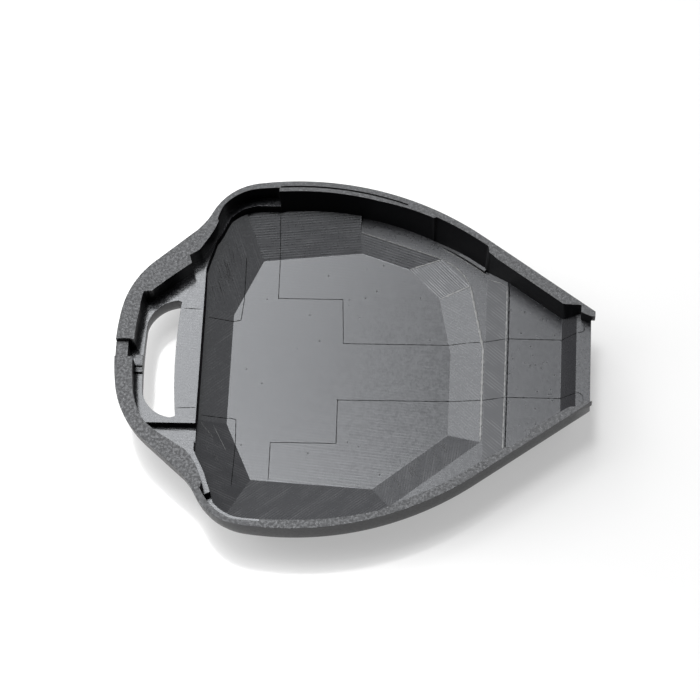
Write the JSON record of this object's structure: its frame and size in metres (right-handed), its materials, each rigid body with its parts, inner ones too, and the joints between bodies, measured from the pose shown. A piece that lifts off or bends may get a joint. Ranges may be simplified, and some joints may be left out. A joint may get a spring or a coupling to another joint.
{
  "type": "car key shell rear cover",
  "caption": "Black plastic rear half of a remote car key shell, seen open: faceted board pocket, key-ring slot at one end and an open blade mouth at the other.",
  "frame": {"origin": "middle of the case's length and width, on the flat rest area of its underside", "axes": "+X along the case towards the blade end, +Y across it, +Z out of the open side; the parting rim lies in a plane square to +Z"},
  "size_m": [0.057, 0.045, 0.0078],
  "materials": {
    "black_plastic": "black moulded plastic, satin, with tool marks and fine scuffs"
  },
  "bodies": {
    "root": {"rear_cover": "black_plastic"}
  },
  "joints": []
}
